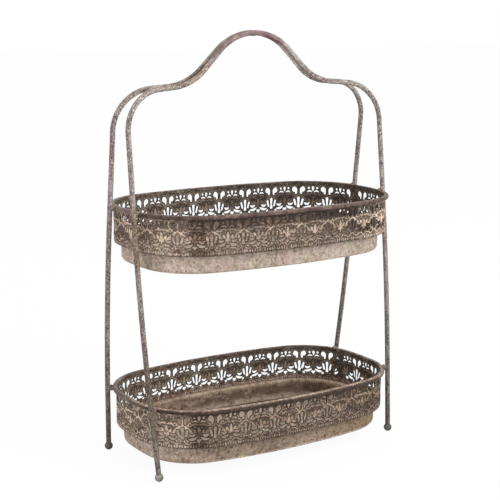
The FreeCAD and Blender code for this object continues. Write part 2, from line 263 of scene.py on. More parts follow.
def agedMetal(name, look):
    # clouded and mottled tones, rubbed relief, painted zones, hue drift, pale flecks and dark pits
    material = bpy.data.materials.new(name)
    material.use_nodes = True
    tree, add, join = nodeMaker(material)
    shader = tree.nodes["Principled BSDF"]

    def times(a, b):
        return blend(add, join, 1.0, a, b, "MULTIPLY")

    grain = add("TexCoord").outputs["Object"]
    coords = add("Attribute", attribute_name="flow").outputs["Vector"] if look.get("streaked") else grain
    cloud = blotches(add, join, coords, look["cloudScale"], *metal["cloud"])
    mottle = blotches(add, join, coords, look["mottleScale"], *metal["mottle"])
    fleck = blotches(add, join, grain, look["fleckScale"], *metal["fleck"])
    mixed = blend(add, join, metal["mottleShare"], cloud, mottle)
    mixed = blend(add, join, metal["fleckShare"], mixed, fleck)
    colour = ramp(add, join, mixed, look["tones"])
    if "relief" in look:
        relief = look["relief"]
        height = add("Attribute", attribute_name="relief").outputs["Fac"]
        worn = ramp(add, join, height, [(relief["low"], grey(0.0)), (relief["high"], grey(1.0))])
        rub = ramp(add, join, mottle, [(at, grey(v)) for at, v in metal["rubStops"]])
        worn = times(worn, rub)
        hollow = blend(add, join, metal["hollowShare"], colour, relief["recess"])
        colour = blend(add, join, worn, hollow, colour)
    painted = add("Attribute", attribute_name="zone")
    zone, speckle = painted.outputs["Color"], painted.outputs["Alpha"]
    colour = times(colour, zone)
    drift = blotches(add, join, coords, look["driftScale"], *metal["drift"])
    hues = (look["drift"][0], grey(1.0), look["drift"][1])
    colour = times(colour, ramp(add, join, drift, list(zip(metal["driftStops"], hues))))
    start = look["fleckFrom"]
    stops = [(start, grey(0.0)), (start + metal["softEdge"], grey(look["fleckAmount"]))]
    pale = ramp(add, join, fleck, stops)
    colour = blend(add, join, times(pale, speckle), colour, times(look["fleckTone"], zone))
    pit = blotches(add, join, grain, look["pitScale"], *metal["pit"])
    end = look["pitTo"]
    stops = [(end - metal["softEdge"], grey(look["pitAmount"])), (end, grey(0.0))]
    dark = ramp(add, join, pit, stops)
    colour = blend(add, join, times(dark, speckle), colour, times(look["pitTone"], zone))
    join(colour, shader.inputs["Base Color"])
    rough = ramp(add, join, mottle, [(at, grey(v)) for at, v in zip(metal["roughStops"], look["rough"])])
    join(rough, shader.inputs["Roughness"])
    shader.inputs["Specular IOR Level"].default_value = metal["specular"]
    bump = add("Bump")
    bump.inputs["Strength"].default_value = look["bump"]
    bump.inputs["Distance"].default_value = metal["bumpDepth"]
    join(blend(add, join, metal["bumpShare"], mottle, fleck), bump.inputs["Height"])
    join(bump, shader.inputs["Normal"])
    return material


# bent round bar: foot, knee, shoulder, valley and the point above the hump, with the bends' radii
bar = {"radius": 4.0, "step": 2.0, "closest": 0.4, "sides": 20, "seedRun": 100.0,
       "lumpy": 0.1, "lumps": ((0.6, 9, 0), (0.4, 3.2, 5)), "sink": 0.05,
       "cleftFacing": (0.72, 0.97), "cleftNear": (14, 8),
       "corners": [(214.778, -82.0, 6.0), (227.993, -55.987, 233.0), (227.993, -18.0, 564.5),
                   (112.0, -7.5, 573.0), (0.0, -2.55, 683.825)],
       "bends": [5000.0, 62.0, 85.0, 88.0]}
barLook = {"streaked": True, "cloudScale": 50.0, "mottleScale": 230.0, "fleckScale": 520.0,
           "tones": fourTones((98, 84, 81), (132, 117, 113), (160, 147, 142), (200, 191, 184)),
           "driftScale": 60.0, "drift": ((1.06, 0.95, 0.99), (0.98, 1.03, 0.94)),
           "fleckFrom": 0.56, "fleckAmount": 1.0, "fleckTone": rgb(234, 228, 221),
           "pitScale": 330.0, "pitTo": 0.455, "pitAmount": 0.95, "pitTone": rgb(66, 55, 52),
           "stretch": 3.5, "calmTop": 0.8, "rough": (0.5, 0.75), "bump": 0.4}
# the silver flank tint and the rear bar's sheen are painted highlights, the cleft tint is painted shade
barTints = {"low": (0.56, 0.56, 0.575), "silverFlankHighlight": (1.4, 1.48, 1.52), "rearBarHighlight": (1.7, 1.7, 1.72),
            "dusk": (0.68, 0.6, 0.62), "top": (0.95, 0.83, 0.86), "tan": (0.9, 0.83, 0.7),
            "shoulder": (1.12, 1.1, 1.08), "upright": (1.12, 1.1, 1.09), "leg": (0.76, 0.66, 0.54),
            "pale": (1.05, 1.03, 0.96), "plum": (0.86, 0.7, 0.76), "coal": (0.6, 0.63, 0.62),
            "cleftShade": (0.34, 0.31, 0.3)}


def barPath():
    right = [Vector(c) for c in bar["corners"]]
    corners = right + [Vector((-c.x, c.y, c.z)) for c in reversed(right[:-1])]
    bends = bar["bends"] + bar["bends"][-2::-1]
    path = [corners[0]]
    for before, corner, after, radius in zip(corners, corners[1:], corners[2:], bends):
        back = (before - corner).normalized()
        forth = (after - corner).normalized()
        half = back.angle(forth) / 2
        inward = (back + forth).normalized()
        centre = corner + inward * (radius / math.sin(half))
        first = corner + back * (radius / math.tan(half))
        last = corner + forth * (radius / math.tan(half))
        steps = max(3, int((math.pi - 2 * half) * radius / bar["step"]))
        a = (first - centre)
        b = (last - centre)
        sweep = a.angle(b)
        for k in range(steps + 1):
            t = k / steps
            path.append(centre + (a * math.sin((1 - t) * sweep) + b * math.sin(t * sweep)) / math.sin(sweep))
    path.append(corners[-1])
    even = [path[0]]
    for p in path[1:]:
        gap = (p - even[-1]).length
        if gap < bar["closest"]:
            continue
        start = even[-1]
        parts = max(1, int(round(gap / bar["step"])))
        even += [start.lerp(p, k / parts) for k in range(1, parts + 1)]
    return even


def barZones(verts, cleftShade):
    # darker legs, tones that change along the handle and from foot to foot, painted highlights on the
    # handle's right flank, and painted shade where the bars face each other; each fade runs between two
    # places in mm
    x, y, z = (np.array(verts) * 1000.0).T
    handle = fade(z, 560, 585)
    ankle = fade(z, 90, 30)
    front = fade(y, 20, -20)
    left = fade(x, 0, -50)
    flank = handle * fade(x, 44, 54) * fade(x, 92, 80)
    shares = {"low": fade(z, 420, 50),
              # painted highlights on the handle's right flank, on both bars and again on the rear bar
              "silverFlankHighlight": flank,
              "rearBarHighlight": handle * fade(x, 36, 50) * fade(x, 122, 105) * (y > 0),
              "dusk": handle * fade(x, 5, 20) * fade(x, 56, 46),
              "top": handle * fade(np.abs(x), 70, 40),
              "tan": handle * fade(x, -75, -90) * front,
              "shoulder": fade(x, -120, -160) * fade(z, 470, 540),
              "upright": left * front * fade(z, 420, 440) * fade(z, 540, 470),
              "leg": left * front * (fade(z, 230, 130) * (1 - ankle) + fade(z, 290, 320) * fade(z, 420, 390)),
              "pale": left * front * ankle,
              "plum": left * (1 - front) * ankle,
              "coal": (1 - left) * front * ankle,
              # painted shade where the two bars face each other
              "cleftShade": cleftShade * fade(np.abs(x), 60, 85)}
    tints = np.ones((len(x), 3))
    for key, share in shares.items():
        tints = tints * toward(np.ones((len(x), 3)), barTints[key], share)
    return tints, 1 - barLook["calmTop"] * handle * fade(np.abs(x), 95, 65)


def makeBar(name, mirror, seed, material):
    path = [Vector((p.x, p.y * mirror, p.z)) for p in barPath()]
    verts, flow, cleftShade = [], [], []
    aside = None
    along = bar["seedRun"] * seed
    for i, p in enumerate(path):
        along += (p - path[max(i - 1, 0)]).length / barLook["stretch"]
        ahead = (path[min(i + 1, len(path) - 1)] - path[max(i - 1, 0)]).normalized()
        if aside is None:
            aside = ahead.orthogonal().normalized()
        aside = (aside - ahead * aside.dot(ahead)).normalized()
        other = ahead.cross(aside)
        for k in range(bar["sides"]):
            turn = 2 * math.pi * k / bar["sides"]
            out = aside * math.cos(turn) + other * math.sin(turn)
            spot = (p + out * bar["radius"]) * mm
            swell = bar["lumpy"] * lumpMix(spot, seed, bar["lumps"]) - bar["sink"]
            verts.append((p + out * (bar["radius"] + swell)) * mm)
            flow += [bar["radius"] * mm * math.cos(turn), bar["radius"] * mm * math.sin(turn), along * mm]
            # how much this point faces the other bar, for the painted shade between them
            cleftShade.append(fade(out.y * mirror, *bar["cleftFacing"]) * fade(abs(p.y), *bar["cleftNear"]))
    cols = bar["sides"]
    faces = [tuple(reversed(f)) for f in gridFaces(len(path), cols, closeCols=True)]
    faces.append(tuple(range(cols)))
    faces.append(tuple(reversed(range(len(verts) - cols, len(verts)))))
    piece = makePiece(name, verts, faces)
    piece.data.attributes.new("flow", "FLOAT_VECTOR", "POINT").data.foreach_set("vector", flow)
    paintZones(piece, *barZones(verts, np.array(cleftShade)))
    place(piece, "frame_bar", material, name)
    return piece


barFinish = agedMetal("mottledBar", barLook)
makeBar("front_frame_rod", 1, 1, barFinish).name = "frontBar"
makeBar("rear_frame_rod", -1, 2, barFinish).name = "rearBar"
print("bars bent")


# ball feet on the leg ends, flat where they stand
foot = {"radius": 6.5, "socket": 4.1, "deep": 3.0, "rings": 26, "sides": 36, "poleGap": 0.02,
        "lumpy": 0.12, "lumpSize": 4, "seed": 11, "sink": 0.1}


def makeFoot(name, right, rear, material):
    leg = [Vector(c) for c in bar["corners"][:2]]
    leg = [Vector((right * c.x, -rear * c.y, c.z)) for c in leg]
    centre = leg[0]
    axis = (leg[1] - leg[0]).normalized()
    aside = axis.orthogonal().normalized()
    other = axis.cross(aside)
    start = math.asin(foot["socket"] / foot["radius"])
    rows = [(foot["socket"], foot["radius"] * math.cos(start) - foot["deep"])]
    for k in range(foot["rings"]):
        t = start + (math.pi - foot["poleGap"] - start) * k / (foot["rings"] - 1)
        rows.append((foot["radius"] * math.sin(t), foot["radius"] * math.cos(t)))
    verts = []
    for out, rise in rows:
        for k in range(foot["sides"]):
            turn = 2 * math.pi * k / foot["sides"]
            p = centre + axis * rise + (aside * math.cos(turn) + other * math.sin(turn)) * out
            away = (p - centre).normalized()
            p = p + away * (foot["lumpy"] * lumps(p * mm, foot["lumpSize"], foot["seed"]) - foot["sink"])
            p.z = max(p.z, 0.0)
            verts.append(p * mm)
    faces = gridFaces(len(rows), foot["sides"], closeCols=True)
    faces.append(tuple(reversed(range(len(verts) - foot["sides"], len(verts)))))
    piece = makePiece(name, verts, faces)
    # painted shade: the lower right side of each ball darker, the rest in the foot's own tone
    spots = np.array(verts) * 1000.0 - np.array(centre)
    footTone = np.array(footLook["tints"][name])
    shaded = fade(spots @ np.array(footLook["shadedSide"]), *footLook["shadedSpan"])
    paintZones(piece, toward(np.ones((len(verts), 3)) * footTone, footTone * footLook["sideShade"], shaded))
    place(piece, "ball_foot", material, name)
    return piece


footLook = dict(barLook, streaked=False, fleckAmount=0.4, pitAmount=0.3,
                tones=[(0.37, rgb(128, 119, 116)), (0.63, rgb(178, 171, 167))],
                # darkening tint, the side it falls on and its span in mm: painted shade on one side of each
                # ball
                sideShade=(0.42, 0.43, 0.38), shadedSide=(0.8, -0.5, -0.6), shadedSpan=(-1.5, 5),
                tints={"foot_ball_front_left": (1.05, 1.12, 1.06), "foot_ball_rear_left": (0.5, 0.45, 0.49),
                       "foot_ball_front_right": (0.42, 0.48, 0.48),
                       "foot_ball_rear_right": (0.48, 0.48, 0.47)})
footFinish = agedMetal("mottledBall", footLook)
corners = [(side, right, row, rear) for side, right in (("left", -1), ("right", 1))
           for row, rear in (("front", -1), ("rear", 1))]
for side, right, row, rear in corners:
    makeFoot("foot_ball_" + row + "_" + side, right, rear, footFinish).name = "ball_" + row + "_" + side
print("ball feet made")


# rolled rims, worn along their tops
rim = {"rings": 500, "lip": 1.6, "inside": -1.3, "edge": 0.7, "out": 5.8, "height": 6.4, "gap": 0.3,
       "crown": [(0.6, 0.12), (1.7, 0.12)], "edgeSteps": 5, "rollSteps": 15,
       "wave": 0.22, "waveSize": 38, "lumpy": 0.16, "lumps": ((0.6, 7, 3), (0.5, 2.6, 4)),
       "sink": 0.06, "rise": 0.6}
rimLook = {"cloudScale": 15.0, "mottleScale": 130.0, "fleckScale": 320.0,
           "tones": fourTones((78, 60, 53), (112, 95, 87), (140, 124, 114), (186, 172, 160)),
           "driftScale": 30.0, "drift": ((1.06, 0.96, 1.0), (0.98, 1.03, 0.92)),
           "fleckFrom": 0.60, "fleckAmount": 0.7, "fleckTone": rgb(206, 193, 181),
           "pitScale": 150.0, "pitTo": 0.43, "pitAmount": 0.8, "pitTone": rgb(64, 46, 39),
           "crest": {"upper": (0.82, 0.76, 0.75), "lower": (1.75, 1.64, 1.56)},
           "crestTo": {"upper": -1.0, "lower": -1.3}, "crestSoft": 1.2, "ragged": 0.5, "raggedSize": 3.4,
           "roll": {"upper": (0.50, 0.41, 0.41), "lower": (0.24, 0.18, 0.14)}, "rightEnd": 0.75,
           "rough": (0.45, 0.7), "bump": 0.5}


def rimProfile():
    roll = rim["height"] / 2
    edge = rim["edge"]
    points = [(rim["inside"], -rim["lip"])]
    points += arcPoints((rim["inside"] + edge, -edge), edge, 180, 90, rim["edgeSteps"])
    points += rim["crown"]
    points += arcPoints((rim["out"] - roll, -roll), roll, 90, -90, rim["rollSteps"])
    points += arcPoints((rim["gap"] + edge, -rim["height"] + edge), edge, 270, 180, rim["edgeSteps"])
    points.append((rim["gap"], -rim["lip"]))
    return points


def rimZones(verts, profile, tier, seed):
    # front of the roll dark, its crest rubbed pale in dots, the rest as it comes
    v = np.array(verts) * 1000.0
    index = np.tile(np.arange(len(profile)), rim["rings"])
    out = np.array(profile)[index, 0]
    drop = np.array(profile)[index, 1]
    front = fade(v[:, 1], 20, -60) * (1 - rimLook["rightEnd"] * fade(v[:, 0], 150, 205))
    low = rimLook["crestTo"][tier]
    ragged = drop + rimLook["ragged"] * abs(low) * lumpRow(v * mm, rimLook["raggedSize"], seed + 9)
    crest = fade(ragged, low, low + rimLook["crestSoft"]) * fade(out, rim["inside"], 0.4)
    tints = toward(np.ones((len(v), 3)), rimLook["roll"][tier], front * fade(out, -0.2, 1.6) * (1 - crest))
    return toward(tints, rimLook["crest"][tier], front * crest)


def makeRim(name, tier, seed, material):
    top = tops[tier]
    profile = rimProfile()
    base = sweepOval(profile, rim["rings"])
    verts = []
    for p in base:
        spot = Vector((p[0], p[1], p[2] + top)) * mm
        lift = rim["wave"] * lumps(Vector((spot.x, spot.y, top * mm)), rim["waveSize"], seed)
        out = rim["lumpy"] * lumpMix(spot, seed, rim["lumps"]) - rim["sink"]
        flat = Vector((p[0], p[1], 0)).normalized()
        verts.append(spot + Vector((flat.x * out, flat.y * out, out * rim["rise"] + lift)) * mm)
    faces = gridFaces(rim["rings"], len(profile), closeRows=True, closeCols=True)
    piece = makePiece(name, verts, faces)
    paintZones(piece, rimZones(verts, profile, tier, seed))
    place(piece, "rim_roll", material, name)
    return piece


tops = {"upper": 396.0, "lower": 108.0}
rimFinish = agedMetal("rubbedRoll", rimLook)
for seed, tier in enumerate(tops):
    makeRim(tier + "_rim", tier, 20 + seed, rimFinish).name = tier + "Roll"
print("rims rolled")


# pressed pans with a flange that sits on the band's foot
pan = {"step": 11.0, "corner": 7.0, "sheet": 1.0, "depth": 88.0, "flangeTop": -58.0, "flangeOut": -2.7,
       "soft": 0.15, "ledgeBend": (0.2, 0.6), "neckBend": (0.5, 0.4), "ledgeRows": (-8.0, -4.0),
       "underRows": (-5.0, -8.0), "cornerSteps": 9, "insideSteps": 8, "outsideSteps": 9,
       "rings": 420, "floorRings": 14, "dent": 0.35, "dents": ((0.7, 60, 0), (0.3, 17, 1)), "dentFrom": 3,
       "dentOver": 10.0, "floorWave": 0.5, "floorWaveSize": 70, "floorEase": 3, "traceSteps": 240}


def panProfile():
    outer = -pan["step"]
    inner = outer - pan["sheet"]
    low = -pan["depth"]
    top = pan["flangeTop"]
    under = top - pan["sheet"]
    brim, soft = pan["flangeOut"], pan["soft"]
    r = pan["corner"]
    ri = r - pan["sheet"]
    start, bend = pan["ledgeBend"]
    inside = arcPoints((inner - ri, low + pan["sheet"] + ri), ri, -90, 0, pan["cornerSteps"])
    inside += [(inner, z) for z in np.linspace(low + pan["sheet"] + ri, top - bend, pan["insideSteps"])[1:]]
    inside += [(inner + start, top - soft), (inner + bend, top)] + [(o, top) for o in pan["ledgeRows"]]
    edge = [(brim - soft, top), (brim, top - soft), (brim, under + soft), (brim - soft, under)]
    aside, drop = pan["neckBend"]
    outside = [(o, under) for o in pan["underRows"]] + [(outer + aside, under), (outer, under - drop)]
    outside += [(outer, z) for z in np.linspace(under - drop, low + r, pan["outsideSteps"])[1:]]
    outside += arcPoints((outer - r, low + r), r, 0, -90, pan["cornerSteps"])[1:]
    return inside + edge + outside


def insidePan(v, drop):
    # inner faces: further in than the middle of the sheet, above the middle of the floor, or on the flange
    points, _ = alongOval(np.linspace(0, ovalLength, pan["traceSteps"], endpoint=False))
    away = v[:, None, :2] - points[None, :, :]
    depthIn = np.min(np.hypot(away[..., 0], away[..., 1]), axis=1)
    inside = (depthIn > pan["step"] + 0.5 * pan["sheet"]) & (drop > -pan["depth"] + 0.5 * pan["sheet"])
    return inside | (drop > pan["flangeTop"] - 0.1)


def panZones(verts, top, tier, seed):
    # outside drifting from left to right; inside, ledge, wall and floor each have their tone, with brown
    # patches up the rear wall; painted shade darkens the wall above its lowest part and the upper pan's
    # ledge, painted light brightens the front of the lower pan's floor; each fade runs between two places in
    # mm
    v = np.array(verts) * 1000.0
    drop = v[:, 2] - top
    look = panLooks[tier]
    tints = toward(np.ones((len(v), 3)) * look["left"], look["middle"], fade(v[:, 0], -200, -120))
    tints = toward(tints, look["right"], fade(v[:, 0], 0, 190))
    inside = insidePan(v, drop)
    floor = fade(drop, -pan["depth"] + 12, -pan["depth"] + 3)
    wall = np.array(look["wall"])[None, :] * np.ones((len(v), 1))
    # painted shade: the inside wall darker above its lowest part
    wall = toward(wall, look["high"], fade(drop, -77, -69))
    spots = v * mm * panLook["patchSquash"]
    big, small = (0.8 * lumpRow(spots, size, seed + step) for size, step in panLook["patches"])
    patch = big + small + 0.4 * fade(v[:, 0], -60, 60)
    wall = toward(wall, look["patch"], fade(patch, -0.15, 0.3) * fade(v[:, 1], 0, 60) * fade(drop, -60, -66))
    # the ledge has its own tone; on the upper pan its dark tone is painted shade
    wall = toward(wall, look["ledge"], fade(drop, pan["flangeTop"] - 1.0, pan["flangeTop"] - 0.3))
    # painted light: on the lower pan the floor's front part is lighter than its rear
    front = fade(v[:, 1], 98, 76)
    base = np.outer(1 - front, look["floorRear"]) + np.outer(front, look["floorFrontLit"])
    within = wall * (1 - floor)[:, None] + base * floor[:, None]
    speckle = np.where(inside, panLook["insideSpeckle"], look["speckle"])
    return np.where(inside[:, None], within, tints), speckle


def drawFloor(verts, faces, edgeRing, flip, seed):
    # floor drawn in from its edge towards the middle, with a slight wave
    rings = pan["rings"]
    last = edgeRing
    for k in range(1, pan["floorRings"]):
        share = 1 - k / pan["floorRings"]
        start = len(verts)
        for index in edgeRing:
            p = verts[index]
            q = Vector((p.x * share, p.y * share, p.z))
            wave = (pan["floorWave"] * mm) * lumps(q, pan["floorWaveSize"], seed)
            q.z += wave * min(1.0, (1 - share) * pan["floorEase"])
            verts.append(q)
        ring = list(range(start, start + rings))
        for i in range(rings):
            j = (i + 1) % rings
            face = (last[i], last[j], ring[j], ring[i])
            faces.append(tuple(reversed(face)) if flip else face)
        last = ring
    centre = len(verts)
    verts.append(Vector((0.0, 0.0, verts[last[0]].z)))
    for i in range(rings):
        face = (last[i], last[(i + 1) % rings], centre)
        faces.append(tuple(reversed(face)) if flip else face)


def makePan(name, tier, seed, material):
    top = tops[tier]
    profile = panProfile()
    count = len(profile)
    rings = pan["rings"]
    verts = []
    for p in sweepOval(profile, rings):
        spot = Vector((p[0], p[1], p[2] + top)) * mm
        depth = min(1.0, max(0.0, (pan["flangeTop"] - pan["dentFrom"] - p[2]) / pan["dentOver"]))
        push = pan["dent"] * depth * lumpMix(spot, seed, pan["dents"])
        flat = Vector((p[0], p[1], 0)).normalized()
        verts.append(spot + flat * push * mm)
    faces = gridFaces(rings, count, closeRows=True)
    for column, flip in ((0, False), (count - 1, True)):  # inside, then underneath
        drawFloor(verts, faces, [i * count + column for i in range(rings)], flip, seed + 2)
    piece = makePiece(name, verts, faces)
    paintZones(piece, *panZones(verts, top, tier, seed))
    place(piece, "pan_sheet", material, name)
    return piece


panLook = {"cloudScale": 16.0, "mottleScale": 120.0, "fleckScale": 300.0,
           "tones": fourTones((128, 110, 98), (162, 145, 132), (185, 169, 156), (208, 194, 181)),
           "driftScale": 40.0, "drift": ((1.03, 0.985, 0.985), (0.98, 1.02, 0.92)),
           "fleckFrom": 0.60, "fleckAmount": 0.5, "fleckTone": rgb(218, 207, 196),
           "pitScale": 150.0, "pitTo": 0.43, "pitAmount": 0.6, "pitTone": rgb(98, 80, 68),
           "patchSquash": (1.0, 1.0, 2.6), "patches": ((30, 7), (10, 8)), "insideSpeckle": 1.3,
           "rough": (0.6, 0.85), "bump": 0.35}
panLooks = {"upper": {"speckle": 1.0, "left": (1.46, 1.42, 1.42), "middle": (1.02, 1.0, 1.0),
                      "right": (1.04, 1.06, 1.02), "wall": (1.25, 1.22, 1.18), "patch": (0.8, 0.72, 0.66),
                      "high": (0.36, 0.31, 0.29), "ledge": (0.4, 0.35, 0.32),
                      "floorRear": (1.2, 1.17, 1.12), "floorFrontLit": (1.2, 1.17, 1.12)},
            "lower": {"speckle": 1.5, "left": (1.45, 1.38, 1.37), "middle": (0.66, 0.6, 0.53),
                      "right": (0.56, 0.47, 0.34), "wall": (0.84, 0.8, 0.74), "patch": (0.33, 0.27, 0.23),
                      "high": (0.76, 0.69, 0.61), "ledge": (1.35, 1.27, 1.18),
                      "floorRear": (0.8, 0.76, 0.73), "floorFrontLit": (1.2, 1.17, 1.15)}}
panFinish = agedMetal("dustySheet", panLook)
makePan("upper_pan", "upper", 30, panFinish).name = "upperPan"
makePan("lower_pan", "lower", 34, panFinish).name = "lowerPan"
print("pans pressed")


# pierced band: openings and embossed lines of one repeat, heights in mm from the rim's top;
# in the embossing each bell has its place and its width
band = {"repeats": 24, "top": -1.6, "foot": -60.0, "border": 2.5, "footRadius": 2.5, "footReach": 6.0,
        "bendSteps": 6, "footSteps": 4, "sheet": 0.9, "columns": 58, "rowStep": 0.8, "seamPlain": 2.0,
        "endGap": 0.3, "snap": 0.33, "leastSlope": 0.25, "grow": 0.2, "reach": 0.62, "far": 9.0,
        "emboss": {"field": 0.22, "scroll": 0.17, "scrollWidth": 0.5, "scrollFrom": 2.6, "soft": 0.8,
                   "scrollAcross": (0.95, 1.4, 0.7), "scrollUp": (0.9, 1.6, 0.8),
                   "clearFrom": 1.2, "lipHeight": 0.44, "lip": (2.3, 0.7), "ringShare": 0.8,
                   "ring": (3.9, 0.7), "sunkEdge": 1.5, "lineGroove": (1.9, 0.8),
                   "leafGroove": (1.1, 0.75), "leafEdge": 0.25, "leafSlope": 0.5, "leafTop": 0.5,
                   "beads": (4.3, 1.9), "beadCount": 12, "beadHeight": 0.5, "beadLift": 0.35,
                   "beadLeast": 0.3, "beadUneven": 0.15, "beadPace": 0.83, "beadCalm": 0.7,
                   "topLine": (-7.6, 0.6), "topLineShare": 0.6},
        "seams": {"upper": 0.45, "lower": 1.0},
        "leads": {"upper_rear": 0.19, "upper_front": 0.615, "lower_rear": 0.54, "lower_front": 0.17}}
pitch = ovalLength / band["repeats"]
stripLength = ovalLength / 2


def taperOutline(first, r1, second, r2, steps=9):
    a, b = np.array(first, float), np.array(second, float)
    along = (b - a) / np.linalg.norm(b - a)
    lean = (r1 - r2) / np.linalg.norm(b - a)
    base = math.degrees(math.atan2(along[1], along[0]))
    wide = math.degrees(math.acos(lean))
    start = arcPoints(a, r1, base + wide, base + 360 - wide, steps)
    return start + arcPoints(b, r2, base - wide, base + wide, steps)


def arcThrough(a, m, b, count):
    (ax, ay), (mx, my), (bx, by) = a, m, b
    d = 2 * (ax * (my - by) + mx * (by - ay) + bx * (ay - my))
    far1, far2, far3 = ax * ax + ay * ay, mx * mx + my * my, bx * bx + by * by
    ux = (far1 * (my - by) + far2 * (by - ay) + far3 * (ay - my)) / d
    uy = (far1 * (bx - mx) + far2 * (ax - bx) + far3 * (mx - ax)) / d
    t0, tm, t1 = (math.atan2(y - uy, x - ux) for x, y in (a, m, b))
    turn = (t1 - t0) % (2 * math.pi)
    if (tm - t0) % (2 * math.pi) > turn:
        turn -= 2 * math.pi
    r = math.hypot(ax - ux, ay - uy)
    turns = [t0 + turn * k / (count - 1) for k in range(count)]
    return [(ux + r * math.cos(t), uy + r * math.sin(t)) for t in turns]


def crescent(first, outer, last, inner, count=13):
    return arcThrough(first, outer, last, count) + arcThrough(last, inner, first, count - 2)[1:-1]


def crownOpenings():
    # waisted spindle, and on both sides of it a mitten and its tail, a fan slot, two crescents and a seed
    z = band["foot"] + band["border"]
    shapes = [arcPoints((0, z + 28.4), 2.4, 180, 0, 11) + [(1.3, z + 19.2)]
              + arcPoints((0, z + 14.8), 2.6, 0, -180, 11) + [(-1.3, z + 19.2)]]
    for side in (-pitch, pitch):
        shapes.append(taperOutline((side * 0.142, -14.0), 4.3, (side * 0.163, -10.9), 1.5))
        shapes.append(taperOutline((side * 0.088, -14.0), 2.0, (side * 0.088, -20.6), 1.5))
        shapes.append(taperOutline((side * 0.146, z + 25.8), 1.6, (side * 0.105, z + 17.6), 1.601))
        x = side * 0.29
        shapes.append(crescent((x - 4.7, z + 21.3), (x, z + 16.4), (x + 4.7, z + 21.3), (x, z + 19.9)))
        near, far = (side * 0.165, z + 13.2), (side * 0.45, z + 16.6)
        shapes.append(crescent(near, (x, z + 10.6), far, (x, z + 14.5), 14))
        shapes.append(taperOutline((side * 0.146, z + 10.3), 1.4, (side * 0.178, z + 9.3), 1.401, 7))
    return shapes


def fleurOpenings():
    # drop and heart, with a pearl and a brow on both sides
    z = band["foot"] + band["border"]
    shapes = [taperOutline((0, -11.2), 2.2, (0, -16.0), 0.8)]
    x, r = 0.034 * pitch, 1.9
    shapes.append([(0, z + 7.0)] + arcThrough((x + r, z + 11.2), (x, z + 13.1), (0, z + 12.1), 8)
                  + arcThrough((0, z + 12.1), (-x, z + 13.1), (-x - r, z + 11.2), 8)[1:])
    for side in (-pitch, pitch):
        shapes.append(arcPoints((side * 0.142, -11.8), 1.8, 0, 330, 12))
        x = side * 0.121
        shapes.append(crescent((x - 4.3, -19.3), (x, -15.6), (x + 4.3, -19.3), (x, -17.9)))
    return shapes


def crownLines():
    # pointed arch over the spindle, the curl beside each mitten and fine bars above:
    # points, half width and height of each
    lines = []
    for s in (-1, 1):
        arch = [(0, -21.8), (s * 3.4, -24.6), (s * 8.4, -27.6), (s * 12.6, -31.2), (s * 15.4, -35.6)]
        curl = [(s * 10.6, -19.6), (s * 8.6, -22.2), (s * 9.6, -24.4), (s * 12.0, -23.8)]
        fine = [(s * 1.9, -8.4), (s * 2.4, -13.0), (s * 1.7, -19.0)]
        lines += [(arch, 0.85, 0.5), (curl, 0.7, 0.45), (fine, 0.6, 0.4)]
    return lines


def petal(x, z, length, width, lean, count=14):
    # closed leaf standing on its point
    pts = []
    c, s = math.cos(math.radians(lean)), math.sin(math.radians(lean))
    for k in range(count):
        t = math.pi * 2 * k / count
        up = length * (0.5 - 0.5 * math.cos(t))
        aside = width * 0.5 * math.sin(t) * (0.5 + 0.7 * up / length)
        pts.append((x + aside * c + up * s, z + up * c - aside * s))
    return pts


def fleurLines():
    # tendrils under the brows, and roots at the foot of the leaves
    lines = []
    for s in (-1, 1):
        tendril = [(0, -20.6), (s * 2.8, -22.6), (s * 7.2, -21.6), (s * 11.6, -24.2)]
        root = [(s * 3.4, -42.6), (s * 8.4, -41.2), (s * 11.2, -38.6)]
        lines += [(tendril, 0.75, 0.45), (root, 0.7, 0.4)]
    return lines


def fleurPetals():
    # fan of raised leaves between two crowns, and a small leaf above it
    leaves = [petal(0, -42.4, 15.5, 4.6, 0), petal(0, -25.6, 3.6, 3.0, 180)]
    for side in (-1, 1):
        leaves.append(petal(side * 1.2, -42.4, 14.6, 4.2, side * 27))
        leaves.append(petal(side * 2.0, -42.2, 12.6, 3.8, side * 55))
        leaves.append(petal(side * 2.4, -42.0, 8.6, 3.0, side * 84))
    return leaves


def distanceTo(outline, x, z, closed):
    # distance to an outline, negative inside it where it is closed
    pts = np.array(outline, float)
    nxt = np.roll(pts, -1, axis=0) if closed else pts[1:]
    pts = pts if closed else pts[:-1]
    best = np.full(x.shape, 1e9)
    inside = np.zeros(x.shape, bool)
    for (ax, az), (bx, bz) in zip(pts, nxt):
        ex, ez = bx - ax, bz - az
        share = np.clip(((x - ax) * ex + (z - az) * ez) / (ex * ex + ez * ez + 1e-12), 0, 1)
        best = np.minimum(best, (x - ax - share * ex) ** 2 + (z - az - share * ez) ** 2)
        if closed:
            crosses = (az > z) != (bz > z)
            inside ^= crosses & (x < ex * (z - az) / (ez + (ez == 0)) + ax)
    best = np.sqrt(best)
    return np.where(inside, -best, best) if closed else best


def bell(value, at, width, power=2):
    return np.exp(-((value - at) / width) ** power)


def meander(p, q, pace, swing, turn):
    # sine along p that swings to and fro along q
    return np.sin(pace * p + swing * np.sin(turn * q))


def clearOfSeams(points, centre):
    sides = [centre + p[0] for p in points]
    return min(sides) > band["seamPlain"] and max(sides) < stripLength - band["seamPlain"]


